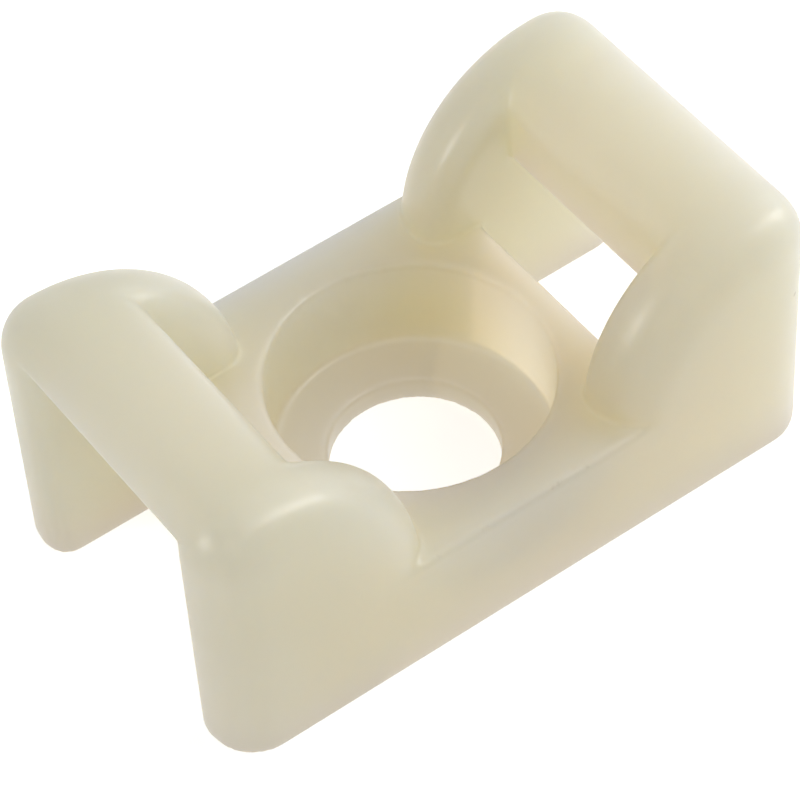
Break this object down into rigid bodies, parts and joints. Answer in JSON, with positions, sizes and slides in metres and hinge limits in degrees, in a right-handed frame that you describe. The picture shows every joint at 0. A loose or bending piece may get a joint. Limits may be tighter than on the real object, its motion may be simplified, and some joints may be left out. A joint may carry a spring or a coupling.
{
  "type": "saddle cable tie mount",
  "caption": "Low saddle mount for a cable tie: two rounded towers cradle a bundle over a flat deck with a recessed screw hole.",
  "frame": {"origin": "screw hole axis on the mounting face", "axes": "+X along the mount from tower to tower, +Y across it, along the bundle, +Z away from the mounting surface"},
  "size_m": [0.021, 0.012, 0.0095],
  "materials": {
    "nylon": "natural uncoloured nylon, satin, slightly translucent"
  },
  "bodies": {
    "root": {"tie_mount": "nylon"}
  },
  "joints": []
}
